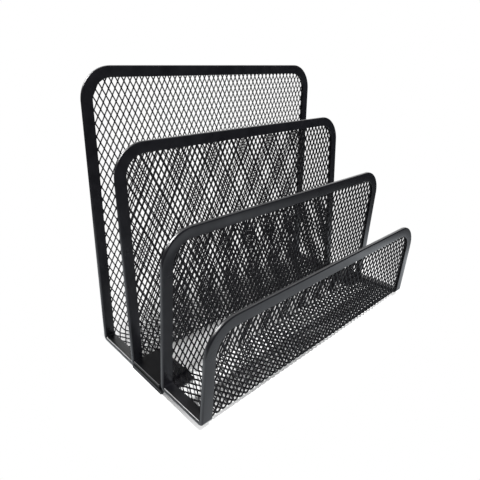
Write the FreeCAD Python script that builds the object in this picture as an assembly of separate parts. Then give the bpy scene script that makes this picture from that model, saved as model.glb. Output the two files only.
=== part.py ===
"""Desk letter and magazine sorter: two bent mesh trays joined by two sheet-steel bridges.

Each tray is one sheet of expanded metal bent into a U, so it has a floor and two upright
panels, and its free edges are gripped by a folded steel strip.  The strip goes up one panel
side, over the rounded top, down the other side and along the tray floor.  The four panels
step down from back to front and leave three slots that are open at both ends.  A short smooth
bridge plate joins the trays at each end of the middle slot, which has no floor between them.

Units are millimetres.  +Z is up, +Y points to the back and +X to the right as seen from the
front.  The origin is at the centre of the footprint, on the surface the sorter stands on.
"""

import FreeCAD, Part
import math
import os

from FreeCAD import Vector

# ---------------------------------------------------------------- driving dimensions
OVERALL_WIDTH = 178.0

# The folded edging strip: a channel that grips the mesh from both faces.
RIM_WIDTH = 5.8
RIM_THICKNESS = 2.2
RIM_EDGE_ROUND = 0.55
MESH_THICKNESS = 0.8
RIM_STEEL = (RIM_THICKNESS - MESH_THICKNESS) / 2

# Bend at the foot of every panel, measured at the middle of the sheet.
FOLD_RADIUS = 1.8
CORNER_RADIUS = 17.0

# Depth positions of the panel feet, before the whole is centred on the origin.
BACK_FOOT_Y = 0.0
SECOND_FOOT_Y = -31.2
THIRD_FOOT_Y = -58.5
FRONT_FOOT_Y = -88.5

# Panel heights above the underside of their own tray.
BACK_HEIGHT = 152.5
SECOND_HEIGHT = 118.0
THIRD_HEIGHT = 83.0
FRONT_HEIGHT = 52.2

# Lean in degrees from upright; positive leans to the back, negative to the front.
BACK_LEAN = 0.5
SECOND_LEAN = 2.4
THIRD_LEAN = -3.8
FRONT_LEAN = -4.9

# The front tray stands on the bridge plates' tongues, so its underside is a little higher.
REAR_TRAY_BASE = 0.0
FRONT_TRAY_BASE = 2.4

# Bridge plates: the smooth floor at each end of the middle slot.  The outer edge is folded under
# itself, and a skirt goes down from there to a hem that stands on the desk.
PLATE_LENGTH = 17.5
PLATE_THICKNESS = 0.6
PLATE_TOP = 3.7
PLATE_FRONT_GAP = 1.0
PLATE_EDGE_ROUND = 0.5
FOLDED_EDGE_HEIGHT = 1.2
FOLDED_EDGE_DEPTH = 3.0
TONGUE_LENGTH = 5.5
TONGUE_SIDE_INSET = 1.5
HEM_HEIGHT = 2.0
HEM_PROJECTION = 0.5
SKIRT_INSET = 0.6
SKIRT_TOE = 2.0

HALF_WIDTH = OVERALL_WIDTH / 2


class Wall:
    """One upright panel of a tray: where it stands, how it leans and how high it is."""

    def __init__(self, foot_y, height, lean, floor_side):
        self.foot_y = foot_y
        self.height = height
        self.lean = lean
        self.floor_side = floor_side
        angle = math.radians(lean)
        self.up = Vector(0, math.sin(angle), math.cos(angle))
        self.outward = Vector(0, -floor_side * math.cos(angle), floor_side * math.sin(angle))
        between = math.acos(floor_side * math.sin(angle))
        self.fold_length = FOLD_RADIUS / math.tan(between / 2)

    def fold_centre(self, floor_z):
        return Vector(0, self.foot_y + self.floor_side * self.fold_length, floor_z + FOLD_RADIUS)


def fold_points(wall, floor_z, radius):
    """Start, middle and end of a foot bend, from the wall round to the floor."""
    centre = wall.fold_centre(floor_z)
    down = Vector(0, 0, -1)
    middle = (wall.outward + down).normalize()
    return centre + wall.outward * radius, centre + middle * radius, centre + down * radius


def band_face(rear, front, floor_z, thickness, x):
    """Side profile of a tray floor with its two foot bends, in the plane at the given x."""
    outer = FOLD_RADIUS + thickness / 2
    inner = FOLD_RADIUS - thickness / 2
    rear_out = fold_points(rear, floor_z, outer)
    front_out = fold_points(front, floor_z, outer)
    rear_in = fold_points(rear, floor_z, inner)
    front_in = fold_points(front, floor_z, inner)
    edges = [
        Part.Arc(*rear_out).toShape(),
        Part.makeLine(rear_out[2], front_out[2]),
        Part.Arc(*reversed(front_out)).toShape(),
        Part.makeLine(front_out[0], front_in[0]),
        Part.Arc(*front_in).toShape(),
        Part.makeLine(front_in[2], rear_in[2]),
        Part.Arc(*reversed(rear_in)).toShape(),
        Part.makeLine(rear_in[0], rear_out[0]),
    ]
    face = Part.Face(Part.Wire(edges))
    face.translate(Vector(x, 0, 0))
    return face


def round_edges(solid, radius, picks):
    """Round every edge of the solid that the test picks."""
    edges = [edge for edge in solid.Edges if picks(edge)]
    return solid.makeFillet(radius, edges)


def arch_face(half_width, bottom, top, corner):
    """Panel outline in the XZ plane: square at the foot, rounded at both top corners."""
    diagonal = corner * (1 - math.sqrt(0.5))
    left_arc = Part.Arc(
        Vector(-half_width, 0, top - corner),
        Vector(-half_width + diagonal, 0, top - diagonal),
        Vector(-half_width + corner, 0, top),
    )
    right_arc = Part.Arc(
        Vector(half_width - corner, 0, top),
        Vector(half_width - diagonal, 0, top - diagonal),
        Vector(half_width, 0, top - corner),
    )
    edges = [
        Part.makeLine(Vector(-half_width, 0, bottom), Vector(-half_width, 0, top - corner)),
        left_arc.toShape(),
        Part.makeLine(Vector(-half_width + corner, 0, top), Vector(half_width - corner, 0, top)),
        right_arc.toShape(),
        Part.makeLine(Vector(half_width, 0, top - corner), Vector(half_width, 0, bottom)),
        Part.makeLine(Vector(half_width, 0, bottom), Vector(-half_width, 0, bottom)),
    ]
    return Part.Face(Part.Wire(edges))


def arch_slab(inset, bottom, top, thickness):
    """A flat slab with the panel outline drawn in by inset, centred on the XZ plane."""
    face = arch_face(HALF_WIDTH - inset, bottom, top - inset, CORNER_RADIUS - inset)
    face.translate(Vector(0, -thickness / 2, 0))
    return face.extrude(Vector(0, thickness, 0))


def stand_up(shape, wall, floor_z):
    """Lean a panel that was made upright at the origin and put it on its foot."""
    shape.rotate(Vector(0, 0, 0), Vector(1, 0, 0), -wall.lean)
    shape.translate(Vector(0, wall.foot_y, floor_z))
    return shape


def panel_top(wall):
    """Length of a panel along its own slope, from the middle of the floor to its top."""
    return (wall.height - RIM_THICKNESS / 2) / math.cos(math.radians(wall.lean))


def panel_rim(wall, floor_z):
    """The strip over one panel: both legs and the rounded top, as a channel."""
    bottom = wall.fold_length
    top = panel_top(wall)
    slab = arch_slab(0, bottom, top, RIM_THICKNESS)
    window = arch_slab(RIM_WIDTH, bottom, top, RIM_THICKNESS)
    slot = arch_slab(RIM_STEEL, bottom, top, MESH_THICKNESS)
    half = RIM_THICKNESS / 2

    def on_outer_edge(edge):
        box = edge.BoundBox
        on_face = abs(abs(box.YMin) - half) < 1e-6 and box.YLength < 1e-6
        outside = max(abs(box.XMin), abs(box.XMax)) > HALF_WIDTH - 1e-6
        at_top = box.ZMax > top - 1e-6
        along_foot = box.ZMax < bottom + 1e-6
        return on_face and (outside or at_top) and not along_foot

    rounded = round_edges(slab, RIM_EDGE_ROUND, on_outer_edge)
    return stand_up(rounded.cut(window).cut(slot), wall, floor_z)


def panel_mesh(wall, floor_z):
    """The part of the mesh sheet that stands in one panel."""
    slab = arch_slab(RIM_STEEL, wall.fold_length, panel_top(wall), MESH_THICKNESS)
    return stand_up(slab, wall, floor_z)


def floor_rail(rear, front, floor_z, side):
    """The strip along one side of a tray floor, with the bends up to both panels."""
    outer_x = side * HALF_WIDTH
    inward = -side
    solid = band_face(rear, front, floor_z, RIM_THICKNESS, outer_x)
    solid = solid.extrude(Vector(inward * RIM_WIDTH, 0, 0))

    def on_outer_face(edge):
        box = edge.BoundBox
        flat = box.XLength < 1e-6 and abs(box.XMin - outer_x) < 1e-6
        closes_end = edge.Length < RIM_THICKNESS + 1e-6 and edge.Curve.TypeId == "Part::GeomLine"
        return flat and not closes_end

    solid = round_edges(solid, RIM_EDGE_ROUND, on_outer_face)
    slot = band_face(rear, front, floor_z, MESH_THICKNESS, outer_x + inward * RIM_STEEL)
    slot = slot.extrude(Vector(inward * RIM_WIDTH, 0, 0))
    return solid.cut(slot)


def floor_mesh(rear, front, floor_z):
    """The floor of the mesh sheet, with its bends, between the two rails' webs."""
    face = band_face(rear, front, floor_z, MESH_THICKNESS, -HALF_WIDTH + RIM_STEEL)
    return face.extrude(Vector(OVERALL_WIDTH - 2 * RIM_STEEL, 0, 0))


def box(x_from, x_to, y_from, y_to, z_from, z_to):
    """A block between two corners."""
    corner = Vector(x_from, y_from, z_from)
    return Part.makeBox(x_to - x_from, y_to - y_from, z_to - z_from, corner)


def bridge_plate(second, third, side):
    """Smooth floor at one end of the middle slot: a hemmed side, a rear lip and a front tongue."""
    rear_y = second.foot_y - RIM_THICKNESS / 2
    front_y = third.foot_y + RIM_THICKNESS / 2 + PLATE_FRONT_GAP
    tongue_top = FRONT_TRAY_BASE
    tongue_bottom = tongue_top - PLATE_THICKNESS
    under_top = PLATE_TOP - PLATE_THICKNESS
    under_fold = PLATE_TOP - FOLDED_EDGE_HEIGHT
    skirt_x = HALF_WIDTH - SKIRT_INSET
    skirt_inner_x = skirt_x - PLATE_THICKNESS
    fold_x = HALF_WIDTH - FOLDED_EDGE_DEPTH
    hem_x = HALF_WIDTH + HEM_PROJECTION
    tongue_x = HALF_WIDTH - TONGUE_SIDE_INSET
    end_x = HALF_WIDTH - PLATE_LENGTH

    top = round_edges(
        box(end_x, HALF_WIDTH, front_y, rear_y, under_fold, PLATE_TOP),
        PLATE_EDGE_ROUND,
        lambda edge: edge.BoundBox.ZMin > PLATE_TOP - 1e-6,
    )
    inner_front_y = front_y + PLATE_THICKNESS
    inner_rear_y = rear_y - PLATE_THICKNESS
    top = top.cut(box(end_x - 1, fold_x, inner_front_y, inner_rear_y, under_fold, under_top))
    rear_lip = box(end_x, skirt_x, inner_rear_y, rear_y, 0, under_fold)
    front_lip = box(end_x, skirt_x, front_y, inner_front_y, tongue_bottom, under_fold)
    tongue_front_y = front_y - TONGUE_LENGTH
    tongue = box(end_x, tongue_x, tongue_front_y, inner_front_y, tongue_bottom, tongue_top)
    skirt = box(skirt_inner_x, skirt_x, front_y, rear_y, 0, under_fold)
    hem = box(skirt_inner_x, hem_x, front_y - SKIRT_TOE, rear_y, 0, HEM_HEIGHT)
    plate = top.fuse([rear_lip, front_lip, tongue, skirt, hem]).removeSplitter()
    if side < 0:
        plate = plate.mirror(Vector(0, 0, 0), Vector(1, 0, 0))
    return plate


def build_nodes():
    """Every sub-part of the sorter, by node name."""
    back = Wall(BACK_FOOT_Y, BACK_HEIGHT, BACK_LEAN, -1)
    second = Wall(SECOND_FOOT_Y, SECOND_HEIGHT, SECOND_LEAN, 1)
    third = Wall(THIRD_FOOT_Y, THIRD_HEIGHT, THIRD_LEAN, -1)
    front = Wall(FRONT_FOOT_Y, FRONT_HEIGHT, FRONT_LEAN, 1)
    nodes = {}
    trays = (
        ("rear", REAR_TRAY_BASE, ("back", back), ("second", second)),
        ("front", FRONT_TRAY_BASE, ("third", third), ("front", front)),
    )
    for tray_name, base, rear_wall, front_wall in trays:
        floor_z = base + RIM_THICKNESS / 2
        for wall_name, wall in (rear_wall, front_wall):
            nodes[wall_name + "_panel_rim"] = panel_rim(wall, floor_z)
            nodes[wall_name + "_panel_mesh"] = panel_mesh(wall, floor_z)
        walls = (rear_wall[1], front_wall[1])
        nodes[tray_name + "_floor_mesh"] = floor_mesh(*walls, floor_z)
        for side_name, side in (("left", -1), ("right", 1)):
            name = tray_name + "_floor_rail_" + side_name
            nodes[name] = floor_rail(*walls, floor_z, side)
    for side_name, side in (("left", -1), ("right", 1)):
        nodes["bridge_plate_" + side_name] = bridge_plate(second, third, side)
    return nodes


def centre_on_origin(nodes):
    """Move everything so that the footprint's centre is the origin and the base is z = 0."""
    whole = Part.makeCompound(list(nodes.values())).optimalBoundingBox(False, False)
    shift = Vector(-(whole.XMin + whole.XMax) / 2, -(whole.YMin + whole.YMax) / 2, -whole.ZMin)
    for shape in nodes.values():
        shape.translate(shift)


def main():
    os.makedirs("parts", exist_ok=True)
    nodes = build_nodes()
    centre_on_origin(nodes)
    for name, shape in nodes.items():
        solids = shape.Solids
        if len(solids) != 1 or not shape.isValid():
            raise RuntimeError(name + " is not one valid solid")
        solids[0].exportStep("parts/" + name + ".step")


main()
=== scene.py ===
import math

import bpy
import numpy as np
from mathutils import Matrix, Vector


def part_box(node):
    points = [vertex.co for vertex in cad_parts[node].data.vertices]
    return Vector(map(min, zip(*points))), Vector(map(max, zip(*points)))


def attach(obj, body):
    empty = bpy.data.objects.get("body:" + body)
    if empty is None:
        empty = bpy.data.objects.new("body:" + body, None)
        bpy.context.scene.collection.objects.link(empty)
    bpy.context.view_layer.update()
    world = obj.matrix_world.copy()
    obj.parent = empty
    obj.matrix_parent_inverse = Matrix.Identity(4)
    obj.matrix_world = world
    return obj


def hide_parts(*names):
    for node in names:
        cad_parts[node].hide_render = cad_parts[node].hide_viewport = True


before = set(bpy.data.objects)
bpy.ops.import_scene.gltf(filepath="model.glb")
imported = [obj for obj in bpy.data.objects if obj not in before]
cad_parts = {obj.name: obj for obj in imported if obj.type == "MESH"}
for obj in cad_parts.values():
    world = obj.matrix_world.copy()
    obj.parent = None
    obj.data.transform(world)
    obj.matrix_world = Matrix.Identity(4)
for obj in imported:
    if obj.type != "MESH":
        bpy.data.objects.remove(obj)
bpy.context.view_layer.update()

# Looks of the stepped mesh sorter.  Each tray is a flat piece of expanded metal with a steel strip
# folded over its edge, and both are laid out flat and then folded into the tray.  A flat place is
# (x, s, n): x across the tray, s along the sheet from the rear panel's top down, over the floor and
# up the front panel, and n out of the tray.  All lengths are metres.
MM = 0.001

# Expanded metal: diamonds drawn wide across the tray and long up the panels.
PITCH_ACROSS = 3.6 * MM
PITCH_ALONG = 6.7 * MM
STRAND_WIDTH = 0.56 * MM
STRAND_THICKNESS = 0.74 * MM
STRAND_ROUND = 0.12 * MM
# How far the strands lean out of the sheet, and how far the diamonds are turned, in each tray.
STRAND_TILT = {"rear": -0.08, "front": 0.04}
LATTICE_TURN = {"rear": -0.4, "front": 0.8}
BOND_ACUTE_CUT = 0.25 * MM
BOND_OBTUSE_CUT = 0.22 * MM
SHEET_THICKNESS = 0.8 * MM
SHEET_EDGE_MARGIN = 0.7 * MM
FOLD_ZONE = 4.0 * MM
FOLD_STEPS = 4

# Folded edging strip.
CORNER_RADIUS = 17.0 * MM
STRIP_STEEL = 0.7 * MM
STRIP_BACK_ROUND = 0.75 * MM
STRIP_LIP_ROUND = 0.18 * MM
ROUND_STEPS = 6
CORNER_STEPS = 28
SMOOTHING_ANGLE = 40

# Powder coat: darkest and lightest base colours, and the fineness of each kind of unevenness.
COAT_DARK = (0.0025, 0.0025, 0.0032)
COAT_LIGHT = (0.0045, 0.0045, 0.0055)
MESH_COAT_DARK = (0.0022, 0.0022, 0.0028)
MESH_COAT_LIGHT = (0.0045, 0.0042, 0.0052)
MOTTLE_SCALE = 160
GLOSS_SCALE = 90
PEEL_SCALE = 1400
PEEL_DEPTH = 0.03 * MM
MESH_SPECULAR = 0.20
PLATE_SPECULAR = 0.15

# Studio: two glowing cards on the floor and a bright wall, seen only in the coat's reflections.
GLOW_COLOUR = (0.90, 0.95, 1.0)
CARD_CENTRE = (0.0, -0.03)
CARD_REACH = 0.36
# The main card's glow stands in for the lit floor seen in the coat: dimmer in its middle as a
# painted shadow of the sorter, brightest in a ring round it as a painted pool of light.
CARD_STOPS = ((0.0, 0.8), (0.25, 0.8), (0.39, 1.6), (0.50, 0.5), (0.62, 0.15), (1.0, 0.0))
CARD_HEIGHT = 0.1 * MM
CARD_STEPS = 64
SIDE_CARD_CENTRE = (-0.215, 0.08)
SIDE_CARD_REACH = 0.12
SIDE_CARD_STOPS = ((0.0, 1.6), (0.7, 1.6), (1.0, 0.0))
SIDE_CARD_HEIGHT = 0.2 * MM
PALE_STRENGTH = 1.0
FLOOR_HALF = 3.0
FLOOR_WHITE = 0.50
FLOOR_SQUEEZE = 0.54
FLOOR_REACH = 0.10
FLOOR_STOPS = ((0.50, 0.0), (0.72, 1.0))
WALL_WAY = Vector((0.45, 0.65, 0.60))
WALL_EDGE = (0.60, 0.72)
WALL_STRENGTH = 1.7
ROOM_COLOUR = (0.02, 0.022, 0.028)
KEY_WAY = (0.0, -0.37, 0.93)
KEY_STRENGTH = 6.5
KEY_ANGLE = 3
FILL_WAY = (-0.35, -0.80, 0.50)
FILL_STRENGTH = 2.5
FILL_ANGLE = 12
WINDOW_PLACE = (-0.55, 0.85, 0.93)
WINDOW_TARGET = (0, 0, 0.05)
WINDOW_SIZE = (0.5, 0.5)
WINDOW_ENERGY = 32

# Camera.
CAMERA_PLACE = Vector((-0.1800, -0.1591, 0.1534))
CAMERA_YAW = -42.19
CAMERA_DOWN = 17.77
CAMERA_ROLL = 0.18
CAMERA_LENS = 32.1
CAMERA_SHIFT = (0.0295, -0.0819)


# ------------------------------------------------------------------------------ materials
def new_material(name):
    """An empty node material with a Principled shader."""
    material = bpy.data.materials.new(name)
    material.use_nodes = True
    nodes = material.node_tree.nodes
    nodes.clear()
    shader = nodes.new("ShaderNodeBsdfPrincipled")
    output = nodes.new("ShaderNodeOutputMaterial")
    material.node_tree.links.new(shader.outputs["BSDF"], output.inputs["Surface"])
    return material, shader


def noise(material, scale, detail):
    """Noise that is fixed to the object, so that it looks the same from every side."""
    nodes = material.node_tree.nodes
    coordinates = nodes.new("ShaderNodeTexCoord")
    texture = nodes.new("ShaderNodeTexNoise")
    texture.inputs["Scale"].default_value = scale
    texture.inputs["Detail"].default_value = detail
    material.node_tree.links.new(coordinates.outputs["Object"], texture.inputs["Vector"])
    return texture.outputs["Fac"]


def powder_coat(name, dark, light, roughness, peel, specular=0.5):
    """Semi-gloss black powder coat: faint mottling, uneven gloss and orange peel."""
    material, shader = new_material(name)
    shader.inputs["Specular IOR Level"].default_value = specular
    nodes = material.node_tree.nodes
    links = material.node_tree.links

    ramp = nodes.new("ShaderNodeValToRGB")
    ramp.color_ramp.elements[0].position = 0.35
    ramp.color_ramp.elements[0].color = (*dark, 1)
    ramp.color_ramp.elements[1].position = 0.70
    ramp.color_ramp.elements[1].color = (*light, 1)
    links.new(noise(material, MOTTLE_SCALE, 3), ramp.inputs["Fac"])
    links.new(ramp.outputs["Color"], shader.inputs["Base Color"])

    gloss = nodes.new("ShaderNodeMapRange")
    gloss.inputs["From Min"].default_value = 0.3
    gloss.inputs["From Max"].default_value = 0.7
    gloss.inputs["To Min"].default_value = roughness[0]
    gloss.inputs["To Max"].default_value = roughness[1]
    links.new(noise(material, GLOSS_SCALE, 2), gloss.inputs["Value"])
    links.new(gloss.outputs["Result"], shader.inputs["Roughness"])

    bump = nodes.new("ShaderNodeBump")
    bump.inputs["Strength"].default_value = peel
    bump.inputs["Distance"].default_value = PEEL_DEPTH
    links.new(noise(material, PEEL_SCALE, 2), bump.inputs["Height"])
    links.new(bump.outputs["Normal"], shader.inputs["Normal"])
    return material


# ------------------------------------------------------------------------------ folded sheet
class Sheet:
    """A tray's sheet: maps a flat place to its place on the folded tray."""

    def __init__(self, tray, rear, front):
        self.half_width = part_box(rear + "_panel_rim")[1].x
        floor_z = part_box(tray + "_floor_mesh")[0].z + SHEET_THICKNESS / 2
        rear_foot, rear_top = panel_line(rear + "_panel_mesh")
        front_foot, front_top = panel_line(front + "_panel_mesh")
        rear_corner = meet_floor(rear_top, rear_foot, floor_z)
        front_corner = meet_floor(front_top, front_foot, floor_z)
        self.points = [rear_top, rear_corner, front_corner, front_top]
        lengths = [np.linalg.norm(b - a) for a, b in zip(self.points, self.points[1:])]
        self.headings = np.unwrap([heading(a, b) for a, b in zip(self.points, self.points[1:])])
        self.turns = np.diff(self.headings)
        cuts = (np.linalg.norm(rear_corner - rear_foot), np.linalg.norm(front_corner - front_foot))
        self.radii = [cut / math.tan(abs(turn) / 2) for cut, turn in zip(cuts, self.turns)]
        arcs = [radius * abs(turn) for radius, turn in zip(self.radii, self.turns)]
        runs = [lengths[0] - cuts[0], arcs[0], lengths[1] - sum(cuts), arcs[1], lengths[2] - cuts[1]]
        self.stops = np.concatenate([[0], np.cumsum(runs)])
        self.bends = ((self.stops[1], self.stops[2]), (self.stops[3], self.stops[4]))
        self.length = self.stops[-1]

    def place(self, flat):
        """Folded places, one row each, of flat places (x, s, n).

        Parts 0, 2 and 4 are the flat panels and floor, and parts 1 and 3 the bends between them."""
        x, s, n = np.asarray(flat, float).T
        start = np.array(self.points[0])
        places = np.zeros((len(x), 3))
        places[:, 0] = x
        for part in range(5):
            begin, end = self.stops[part], self.stops[part + 1]
            inside = np.ones(len(s), bool)
            if part > 0:
                inside &= s >= begin
            if part < 4:
                inside &= s < end
            along = s - begin
            if part % 2 == 0:
                angle = self.headings[part // 2]
                way = np.array([math.cos(angle), math.sin(angle)])
                out = np.array([-way[1], way[0]])
                points = start + np.outer(along, way) + np.outer(n, out)
                start = start + (end - begin) * way
            else:
                turn = self.turns[part // 2]
                radius = self.radii[part // 2]
                side = math.copysign(1, turn)
                angle = self.headings[part // 2]
                to_centre = side * np.array([-math.sin(angle), math.cos(angle)])
                centre = start + radius * to_centre
                turned = angle + side * along / radius
                out = np.stack([-np.sin(turned), np.cos(turned)], 1)
                points = centre + out * (n - side * radius)[:, None]
                last = angle + turn
                start = centre - side * radius * np.array([-math.sin(last), math.cos(last)])
            places[inside, 1:] = points[inside]
        return places

    def in_fold(self, s):
        """True if a flat place is in a bend or close beside one."""
        return any(low - FOLD_ZONE < s < high + FOLD_ZONE for low, high in self.bends)


def panel_line(node):
    """Middle of a panel sheet's foot and of its top, as (y, z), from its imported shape."""
    points = np.array([v.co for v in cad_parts[node].data.vertices])
    z = points[:, 2]
    foot = points[z < z.min() + 0.1 * MM, 1:].mean(0)
    top = points[z > z.max() - 0.1 * MM, 1:].mean(0)
    return foot, top


def meet_floor(top, foot, floor_z):
    """Where the line through a panel meets the middle of the tray floor."""
    share = (floor_z - foot[1]) / (foot[1] - top[1])
    return foot + (foot - top) * share


def heading(start, end):
    """Angle of the line from one place (y, z) to another."""
    return math.atan2(end[1] - start[1], end[0] - start[0])


# ------------------------------------------------------------------------------ mesh making
def make_piece(name, vertices, faces, material, replaced):
    """A mesh piece that rides on the sorter and stands for the CAD nodes."""
    mesh = bpy.data.meshes.new(name)
    mesh.from_pydata([tuple(v) for v in vertices], [], faces)
    mesh.validate()
    mesh.polygons.foreach_set("use_smooth", [True] * len(mesh.polygons))
    mesh.materials.append(material)
    mesh.update()
    piece = bpy.data.objects.new(name, mesh)
    bpy.context.scene.collection.objects.link(piece)
    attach(piece, "root")
    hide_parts(*replaced)
    return piece


def lay_flat(piece, flat):
    """Gives a piece the texture places of its flat sheet, so that it needs no unwrapping."""
    places = np.array(flat)[:, :2]
    low = places.min(0)
    shares = (places - low) / (places.max(0) - low)
    corners = np.zeros(len(piece.data.loops), int)
    piece.data.loops.foreach_get("vertex_index", corners)
    layer = piece.data.uv_layers.new(name="OFBake")
    layer.data.foreach_set("uv", shares[corners].ravel())


STRAND_ANGLE = math.atan(PITCH_ACROSS / PITCH_ALONG)
# Quarter directions of the four strands at a bond, anticlockwise from right and up.
QUARTERS = ((1, 1), (-1, 1), (-1, -1), (1, -1))
# Across a strand's surface, from its outer face round its side to its inner face.
LEVELS = (
    (STRAND_WIDTH / 2 - STRAND_ROUND, STRAND_THICKNESS / 2),
    (STRAND_WIDTH / 2, STRAND_THICKNESS / 2 - STRAND_ROUND),
    (STRAND_WIDTH / 2, STRAND_ROUND - STRAND_THICKNESS / 2),
    (STRAND_WIDTH / 2 - STRAND_ROUND, -STRAND_THICKNESS / 2),
)
# Corners of one bond.
RING = 8
# Corners of the bond at a strand's far end, right and left, for the two arms that go up the sheet.
ARM_ENDS = {0: [5, 4], 1: [7, 6]}


def bond_corners(half_width, height, tilt):
    """The eight corners (x, s, n) of a bond where four strands meet, anticlockwise.

    A strand's face leans out of the sheet by the tilt, so every diamond is a tilted ring."""
    corners = []
    for right, up in QUARTERS:
        way = (right * math.sin(STRAND_ANGLE), up * math.cos(STRAND_ANGLE))
        side_x = right * half_width / math.cos(STRAND_ANGLE) + way[0] * BOND_OBTUSE_CUT
        side = (
            side_x,
            way[1] * BOND_OBTUSE_CUT,
            height + tilt * (side_x - right * PITCH_ACROSS / 2),
        )
        end_x = way[0] * BOND_ACUTE_CUT
        end = (
            end_x,
            up * half_width / math.sin(STRAND_ANGLE) + way[1] * BOND_ACUTE_CUT,
            height + tilt * end_x,
        )
        corners += [side, end] if right * up > 0 else [end, side]
    return np.array(corners)


def inside_outline(x, s, half_width, length, corner, margin):
    """True if a flat place is inside the sheet's rounded outline by the margin."""
    from_side = half_width - abs(x)
    from_end = min(s, length - s)
    if from_side < corner and from_end < corner:
        return corner - math.hypot(corner - from_side, corner - from_end) > margin
    return min(from_side, from_end) > margin


class Lattice:
    """Collects the corners and faces of a stretch of expanded metal, flat."""

    def __init__(self):
        self.flat = []
        self.faces = []

    def add_ring(self, points):
        """Adds points given as levels x corners and returns their indices the same way."""
        first = len(self.flat)
        levels, corners = points.shape[:2]
        self.flat.extend(points.reshape(-1, 3))
        return first + np.arange(levels * corners).reshape(levels, corners)

    def skin(self, indices):
        """Outer and inner face of one cell, whose corners run anticlockwise."""
        self.faces.append(tuple(indices[0]))
        self.faces.append(tuple(indices[-1][::-1]))

    def side(self, start, end):
        """Side of a cell along one edge, from the outer face round to the inner face."""
        for level in range(len(LEVELS) - 1):
            below = level + 1
            self.faces.append((start[level], start[below], end[below], end[level]))


def strand(lattice, sheet, here, there):
    """One strand between two bonds, split up where the sheet is folded.

    The first corners of both ends are on its right, seen along the sheet."""
    right, left = here.T
    right_end, left_end = there.T
    middle = (lattice.flat[right[0]][1] + lattice.flat[right_end[0]][1]) / 2
    steps = FOLD_STEPS if sheet.in_fold(middle) else 1
    flat = np.array([lattice.flat[i] for i in np.concatenate([right, left, right_end, left_end])])
    right_at, left_at, right_to, left_to = flat.reshape(4, len(LEVELS), 3)
    for step in range(1, steps + 1):
        if step < steps:
            share = step / steps
            points = np.stack(
                [
                    right_at + (right_to - right_at) * share,
                    left_at + (left_to - left_at) * share,
                ],
                1,
            )
            ring = lattice.add_ring(points)
            next_right, next_left = ring[:, 0], ring[:, 1]
        else:
            next_right, next_left = right_end, left_end
        lattice.skin(np.stack([right, next_right, next_left, left], 1))
        lattice.side(right, next_right)
        lattice.side(next_left, left)
        right, left = next_right, next_left


def bond_places(sheet, turn):
    """Lattice places (column, row) and flat places (x, s) of all bonds inside the sheet."""
    half_width = sheet.half_width - STRIP_STEEL
    corner = CORNER_RADIUS - STRIP_STEEL
    drift = sheet.length * abs(math.sin(turn))
    columns = int((half_width + drift) / (PITCH_ACROSS / 2)) + 1
    rows = int((sheet.length + drift) / (PITCH_ALONG / 2)) + 1
    # A turned lattice reaches the sheet's corners only if it starts before the sheet does.
    first_row = -rows // 8
    places = {}
    for row in range(first_row, rows + 1):
        for column in range(-columns, columns + 1):
            if (row + column) % 2:
                continue
            across = column * PITCH_ACROSS / 2
            along = row * PITCH_ALONG / 2
            x = across * math.cos(turn) - along * math.sin(turn)
            s = across * math.sin(turn) + along * math.cos(turn)
            if inside_outline(x, s, half_width, sheet.length, corner, SHEET_EDGE_MARGIN):
                places[column, row] = np.array([x, s, 0])
    return places


def expanded_metal(sheet, s_from, s_to, tilt, turn):
    """Flat corners and faces of the expanded metal between two places along the sheet."""
    lattice = Lattice()
    bond = np.array([bond_corners(*level, tilt) for level in LEVELS])
    turned = bond @ np.array(Matrix.Rotation(-turn, 3, "Z"))
    bonds = bond_places(sheet, turn)
    rings = {}
    for place, middle in bonds.items():
        if s_from <= middle[1] < s_to:
            rings[place] = lattice.add_ring(turned + middle)
    for (column, row), ring in rings.items():
        lattice.skin(ring)
        for corner in range(1, RING, 2):
            lattice.side(ring[:, corner], ring[:, (corner + 1) % RING])
        for arm, (right, up) in enumerate(QUARTERS):
            place = (column + right, row + up)
            if place not in bonds or (place not in rings and up < 0):
                lattice.side(ring[:, 2 * arm], ring[:, 2 * arm + 1])
            elif up > 0:
                ends = ARM_ENDS[arm]
                if place in rings:
                    other = rings[place][:, ends]
                else:
                    other = lattice.add_ring((turned + bonds[place])[:, ends])
                    lattice.side(other[:, 0], other[:, 1])
                strand(lattice, sheet, ring[:, 2 * arm : 2 * arm + 2], other)
    return lattice.flat, lattice.faces


# ------------------------------------------------------------------------------ edging strip
def arc_points(centre, radius, start, end, steps):
    """Points on an arc, angles in degrees, both ends included."""
    angles = np.radians(np.linspace(start, end, steps + 1))
    return [(centre[0] + radius * math.cos(a), centre[1] + radius * math.sin(a)) for a in angles]


def strip_profile(width, thickness):
    """The strip's section as (u, n): u in from the tray's edge, n out of the sheet."""
    half = thickness / 2
    groove = half - STRIP_STEEL
    back = STRIP_BACK_ROUND
    lip = STRIP_LIP_ROUND
    profile = arc_points((width - lip, half - lip), lip, 0, 90, ROUND_STEPS)
    profile += arc_points((back, half - back), back, 90, 180, ROUND_STEPS)
    profile += arc_points((back, back - half), back, 180, 270, ROUND_STEPS)
    profile += arc_points((width - lip, lip - half), lip, 270, 360, ROUND_STEPS)
    profile += [(width, -groove), (STRIP_STEEL, -groove), (STRIP_STEEL, groove), (width, groove)]
    return profile


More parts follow.
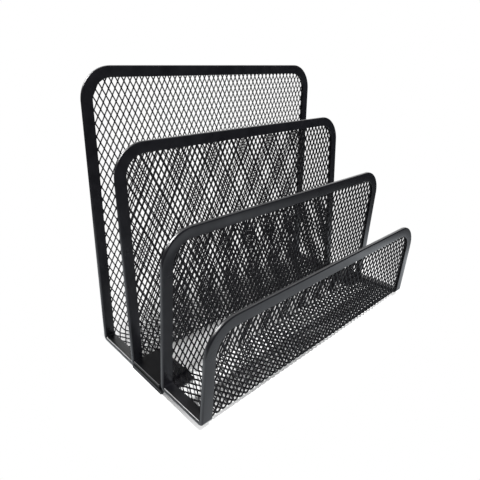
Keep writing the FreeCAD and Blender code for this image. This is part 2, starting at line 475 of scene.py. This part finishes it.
def edge_route(sheet):
    """The tray's edge laid flat: places (x, s) and the directions to the inside of the sheet."""
    ends = (-STRIP_STEEL, sheet.length + STRIP_STEEL)
    centres = (
        (sheet.half_width - CORNER_RADIUS, ends[1] - CORNER_RADIUS, 0),
        (CORNER_RADIUS - sheet.half_width, ends[1] - CORNER_RADIUS, 90),
        (CORNER_RADIUS - sheet.half_width, ends[0] + CORNER_RADIUS, 180),
        (sheet.half_width - CORNER_RADIUS, ends[0] + CORNER_RADIUS, 270),
    )
    places, inwards = [], []
    for x, s, start in centres:
        for angle in np.radians(np.linspace(start, start + 90, CORNER_STEPS + 1)):
            out = np.array([math.cos(angle), math.sin(angle)])
            places.append(np.array([x, s]) + CORNER_RADIUS * out)
            inwards.append(-out)
        if start % 180 == 90:
            side = math.copysign(1, x)
            stops = fold_stops(sheet)
            if start == 90:
                stops = stops[::-1]
            for stop in stops:
                places.append(np.array([side * sheet.half_width, stop]))
                inwards.append(np.array([-side, 0]))
    return places, inwards


def fold_stops(sheet):
    """Places along the sheet's side at which the strip follows the bends."""
    steps = 3 * FOLD_STEPS + 1
    return np.concatenate([np.linspace(low, high, steps) for low, high in sheet.bends])


def edging_strip(sheet, width, thickness):
    """Corners and faces of the strip round the whole edge of a tray."""
    profile = strip_profile(width, thickness)
    places, inwards = edge_route(sheet)
    flat = [
        (*(place + inward * u), n)
        for place, inward in zip(places, inwards)
        for u, n in profile
    ]
    around, across = len(places), len(profile)
    faces = []
    for i in range(around):
        j = (i + 1) % around
        for k in range(across):
            m = (k + 1) % across
            faces.append((i * across + k, i * across + m, j * across + m, j * across + k))
    return sheet.place(flat), faces


# ------------------------------------------------------------------------------ trays
def build_tray(tray, rear, front, strip_material, mesh_material):
    """The expanded metal and the edging strip of one tray."""
    sheet = Sheet(tray, rear, front)
    rear_rim = rear + "_panel_rim"
    rail = tray + "_floor_rail_left"
    low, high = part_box(rail)
    strip_width = high.x - low.x
    floor_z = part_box(tray + "_floor_mesh")[0].z + SHEET_THICKNESS / 2
    strip_thickness = 2 * (floor_z - low.z)
    vertices, faces = edging_strip(sheet, strip_width, strip_thickness)
    replaced = [rear_rim, front + "_panel_rim", rail, tray + "_floor_rail_right"]
    strip = make_piece(tray + "_tray_strip", vertices, faces, strip_material, replaced)
    keep_sharp(strip)
    stretches = (
        (rear + "_panel", -1, sheet.stops[1]),
        (tray + "_floor", sheet.stops[1], sheet.stops[4]),
        (front + "_panel", sheet.stops[4], 2 * sheet.length),
    )
    tilt = STRAND_TILT[tray]
    turn = math.radians(LATTICE_TURN[tray])
    for name, s_from, s_to in stretches:
        flat, faces = expanded_metal(sheet, s_from, s_to, tilt, turn)
        piece = make_piece(
            name + "_expanded_metal",
            sheet.place(flat),
            faces,
            mesh_material,
            [name + "_mesh"],
        )
        lay_flat(piece, flat)


def keep_sharp(piece):
    """Splits the shading where two faces meet at more than the smoothing angle."""
    piece.data.set_sharp_from_angle(angle=math.radians(SMOOTHING_ANGLE))


# ------------------------------------------------------------------------------ stage
def distance_ramp(material, centre, reach, squeeze, stops, colour):
    """Colour by distance from a centre on the floor: stops are (share of reach, brightness).

    Distances across X count for less by the squeeze, so the rings can follow an oblong."""
    nodes = material.node_tree.nodes
    links = material.node_tree.links
    coordinates = nodes.new("ShaderNodeTexCoord")
    oblong = nodes.new("ShaderNodeVectorMath")
    oblong.operation = "MULTIPLY"
    oblong.inputs[1].default_value = (squeeze, 1, 0)
    links.new(coordinates.outputs["Object"], oblong.inputs[0])
    away = nodes.new("ShaderNodeVectorMath")
    away.operation = "DISTANCE"
    away.inputs[1].default_value = (centre[0] * squeeze, centre[1], 0)
    links.new(oblong.outputs["Vector"], away.inputs[0])
    share = nodes.new("ShaderNodeMath")
    share.operation = "DIVIDE"
    share.inputs[1].default_value = reach
    links.new(away.outputs["Value"], share.inputs[0])
    ramp = nodes.new("ShaderNodeValToRGB")
    elements = ramp.color_ramp.elements
    while len(elements) < len(stops):
        elements.new(0.5)
    for element, (place, brightness) in zip(elements, stops):
        element.position = place
        element.color = (*(brightness * np.array(colour)), 1)
    links.new(share.outputs["Value"], ramp.inputs["Fac"])
    return ramp.outputs["Color"]


def emitter(name, stops, centre, reach):
    """A glow that changes with the distance from a centre."""
    material = bpy.data.materials.new(name)
    material.use_nodes = True
    nodes = material.node_tree.nodes
    nodes.clear()
    highest = max(strength for _, strength in stops)
    shares = [(place, strength / highest) for place, strength in stops]
    colour = distance_ramp(material, centre, reach, 1, shares, GLOW_COLOUR)
    glow = nodes.new("ShaderNodeEmission")
    material.node_tree.links.new(colour, glow.inputs["Color"])
    glow.inputs["Strength"].default_value = highest
    output = nodes.new("ShaderNodeOutputMaterial")
    material.node_tree.links.new(glow.outputs["Emission"], output.inputs["Surface"])
    return material


def floor_paint():
    """Matt white under and close round the sorter; further out, as pale as the backdrop."""
    material, shader = new_material("floor_white")
    shader.inputs["Base Color"].default_value = (FLOOR_WHITE, FLOOR_WHITE, FLOOR_WHITE, 1)
    shader.inputs["Roughness"].default_value = 0.9
    shader.inputs["Specular IOR Level"].default_value = 0.1
    nodes = material.node_tree.nodes
    links = material.node_tree.links
    pale = nodes.new("ShaderNodeEmission")
    pale.inputs["Strength"].default_value = PALE_STRENGTH
    far = distance_ramp(material, (0, 0), FLOOR_REACH, FLOOR_SQUEEZE, FLOOR_STOPS, (1, 1, 1))
    mix = nodes.new("ShaderNodeMixShader")
    links.new(far, mix.inputs["Fac"])
    links.new(shader.outputs["BSDF"], mix.inputs[1])
    links.new(pale.outputs["Emission"], mix.inputs[2])
    output = next(node for node in nodes if node.type == "OUTPUT_MATERIAL")
    links.new(mix.outputs["Shader"], output.inputs["Surface"])
    return material


def area_light(name, place, target, size, energy):
    """A square softbox that looks at the target."""
    lamp = bpy.data.lights.new(name, "AREA")
    lamp.shape = "RECTANGLE"
    lamp.size, lamp.size_y = size
    lamp.energy = energy
    light = bpy.data.objects.new(name, lamp)
    bpy.context.scene.collection.objects.link(light)
    light.location = place
    light.rotation_mode = "QUATERNION"
    light.rotation_quaternion = (Vector(target) - Vector(place)).to_track_quat("-Z", "Y")
    return light


def far_lamp(name, way, strength, angle):
    """A far lamp in the given direction, which lights and throws shadows but gives no glints."""
    lamp = bpy.data.lights.new(name, "SUN")
    lamp.energy = strength
    lamp.angle = math.radians(angle)
    light = bpy.data.objects.new(name, lamp)
    bpy.context.scene.collection.objects.link(light)
    light.rotation_mode = "QUATERNION"
    light.rotation_quaternion = (-Vector(way)).to_track_quat("-Z", "Y")
    light.visible_glossy = False


def build_floor():
    """A plain pale floor that the sorter stands on."""
    mesh = bpy.data.meshes.new("floor")
    half = FLOOR_HALF
    corners = [(-half, -half, 0), (half, -half, 0), (half, half, 0), (-half, half, 0)]
    mesh.from_pydata(corners, [], [(0, 1, 2, 3)])
    mesh.materials.append(floor_paint())
    floor = bpy.data.objects.new("floor", mesh)
    bpy.context.scene.collection.objects.link(floor)
    floor.visible_glossy = False


def build_card(name, centre, reach, stops, height):
    """A round glowing card on the floor, seen only as the glow that it gives the strips."""
    mesh = bpy.data.meshes.new(name)
    places = arc_points(centre, reach, 0, 360, CARD_STEPS)[:-1]
    mesh.from_pydata([(x, y, height) for x, y in places], [], [tuple(range(len(places)))])
    mesh.materials.append(emitter(name + "_glow", stops, centre, reach))
    card = bpy.data.objects.new(name, mesh)
    bpy.context.scene.collection.objects.link(card)
    card.visible_camera = False
    card.visible_diffuse = False
    card.visible_shadow = False
    card.visible_transmission = False


def build_world():
    """Pale for the camera and for diffuse light; in reflections a bright wall and a dark room."""
    world = bpy.data.worlds.new("studio")
    bpy.context.scene.world = world
    world.use_nodes = True
    nodes = world.node_tree.nodes
    links = world.node_tree.links
    nodes.clear()
    path = nodes.new("ShaderNodeLightPath")
    pale = nodes.new("ShaderNodeBackground")
    pale.inputs["Color"].default_value = (1, 1, 1, 1)
    pale.inputs["Strength"].default_value = PALE_STRENGTH
    coordinates = nodes.new("ShaderNodeTexCoord")
    facing = nodes.new("ShaderNodeVectorMath")
    facing.operation = "DOT_PRODUCT"
    facing.inputs[1].default_value = WALL_WAY.normalized()
    links.new(coordinates.outputs["Generated"], facing.inputs[0])
    ramp = nodes.new("ShaderNodeValToRGB")
    elements = ramp.color_ramp.elements
    elements[0].position = WALL_EDGE[0]
    elements[0].color = (*ROOM_COLOUR, 1)
    elements[1].position = WALL_EDGE[1]
    elements[1].color = (1, 1, 1, 1)
    links.new(facing.outputs["Value"], ramp.inputs["Fac"])
    room = nodes.new("ShaderNodeBackground")
    links.new(ramp.outputs["Color"], room.inputs["Color"])
    room.inputs["Strength"].default_value = WALL_STRENGTH
    mix = nodes.new("ShaderNodeMixShader")
    output = nodes.new("ShaderNodeOutputWorld")
    links.new(path.outputs["Is Glossy Ray"], mix.inputs["Fac"])
    links.new(pale.outputs[0], mix.inputs[1])
    links.new(room.outputs[0], mix.inputs[2])
    links.new(mix.outputs[0], output.inputs["Surface"])


def build_camera():
    """The camera at the main view's angle, without depth of field."""
    camera_data = bpy.data.cameras.new("camera")
    camera_data.lens = CAMERA_LENS
    camera_data.sensor_width = 36
    camera_data.shift_x, camera_data.shift_y = CAMERA_SHIFT
    camera_data.clip_start = 0.01
    camera = bpy.data.objects.new("camera", camera_data)
    bpy.context.scene.collection.objects.link(camera)
    turn = Matrix.Rotation(math.radians(CAMERA_YAW), 4, "Z")
    tilt = Matrix.Rotation(math.radians(90 - CAMERA_DOWN), 4, "X")
    roll = Matrix.Rotation(math.radians(CAMERA_ROLL), 4, "Z")
    camera.matrix_world = Matrix.Translation(CAMERA_PLACE) @ turn @ tilt @ roll
    bpy.context.scene.camera = camera


# ------------------------------------------------------------------------------ build all
def build_all():
    """The sorter, its stage, its lights and the camera."""
    strip_material = powder_coat("strip_powder_coat", COAT_DARK, COAT_LIGHT, (0.26, 0.36), 0.25)
    mesh_material = powder_coat(
        "mesh_powder_coat", MESH_COAT_DARK, MESH_COAT_LIGHT, (0.42, 0.55), 0.2, MESH_SPECULAR
    )
    plate_material = powder_coat(
        "plate_powder_coat", COAT_DARK, COAT_LIGHT, (0.30, 0.40), 0.25, PLATE_SPECULAR
    )
    build_tray("rear", "back", "second", strip_material, mesh_material)
    build_tray("front", "third", "front", strip_material, mesh_material)
    for side in ("left", "right"):
        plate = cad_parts["bridge_plate_" + side]
        plate.data.materials.clear()
        plate.data.materials.append(plate_material)
    build_floor()
    # Glowing card that paints the lit floor's reflection, with a painted shadow of the sorter in its
    # middle.
    build_card("table_glow_card", CARD_CENTRE, CARD_REACH, CARD_STOPS, CARD_HEIGHT)
    build_card(
        "side_card", SIDE_CARD_CENTRE, SIDE_CARD_REACH, SIDE_CARD_STOPS, SIDE_CARD_HEIGHT
    )
    build_world()
    window = area_light("window", WINDOW_PLACE, WINDOW_TARGET, WINDOW_SIZE, WINDOW_ENERGY)
    window.visible_diffuse = False
    far_lamp("key", KEY_WAY, KEY_STRENGTH, KEY_ANGLE)
    far_lamp("fill", FILL_WAY, FILL_STRENGTH, FILL_ANGLE)
    build_camera()
    bpy.context.scene.view_settings.view_transform = "Standard"


build_all()
